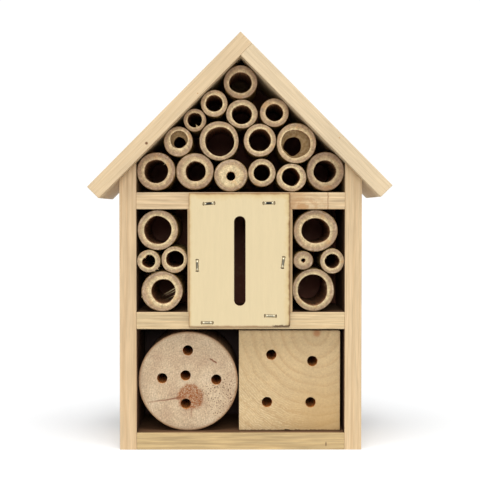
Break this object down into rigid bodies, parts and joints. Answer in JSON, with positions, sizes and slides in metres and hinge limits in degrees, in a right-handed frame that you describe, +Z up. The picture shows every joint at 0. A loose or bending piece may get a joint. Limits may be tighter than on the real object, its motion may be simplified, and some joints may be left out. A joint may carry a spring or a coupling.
{
  "type": "insect hotel",
  "caption": "Gabled insect hotel of pine boards holding bamboo tubes, a drilled log slice, a drilled block and a slotted butterfly chamber.",
  "frame": {"origin": "on the ground, midway between the two eaves and midway between the roof's front and back edges", "axes": "+X to the right seen from the front, +Y to the back, +Z up; the front faces -Y"},
  "size_m": [0.2182, 0.092, 0.301],
  "materials": {
    "pine_board": "planed, raw",
    "plywood": "sanded, raw",
    "log_end_grain": "sawn, raw",
    "pine_end_grain": "sawn, raw",
    "bamboo": "sawn, dried",
    "bright_nail_steel": "bright",
    "galvanised_wire": "galvanised"
  },
  "bodies": {
    "root": {"back_panel": "plywood", "back_panel_staples": "galvanised_wire", "block_nails": "bright_nail_steel", "butterfly_panel": "plywood", "divider_nails": "bright_nail_steel", "floor_board": "pine_board", "gable_tube_01": "bamboo", "gable_tube_02": "bamboo", "gable_tube_03": "bamboo", "gable_tube_04": "bamboo", "gable_tube_05": "bamboo", "gable_tube_06": "bamboo", "gable_tube_07": "bamboo", "gable_tube_08": "bamboo", "gable_tube_09": "bamboo", "gable_tube_10": "bamboo", "gable_tube_11": "bamboo", "gable_tube_12": "bamboo", "gable_tube_13": "bamboo", "gable_tube_14": "bamboo", "gable_tube_15": "bamboo", "left_divider": "pine_board", "left_roof_board": "pine_board", "left_side_board": "pine_board", "left_tube_01": "bamboo", "left_tube_02": "bamboo", "left_tube_03": "bamboo", "left_tube_04": "bamboo", "log_disc": "log_end_grain", "lower_shelf": "pine_board", "panel_staples": "galvanised_wire", "pine_block": "pine_end_grain", "right_divider": "pine_board", "right_roof_board": "pine_board", "right_side_board": "pine_board", "right_tube_01": "bamboo", "right_tube_02": "bamboo", "right_tube_03": "bamboo", "right_tube_04": "bamboo", "roof_nails": "bright_nail_steel", "side_nails": "bright_nail_steel", "upper_shelf": "pine_board"}
  },
  "joints": []
}
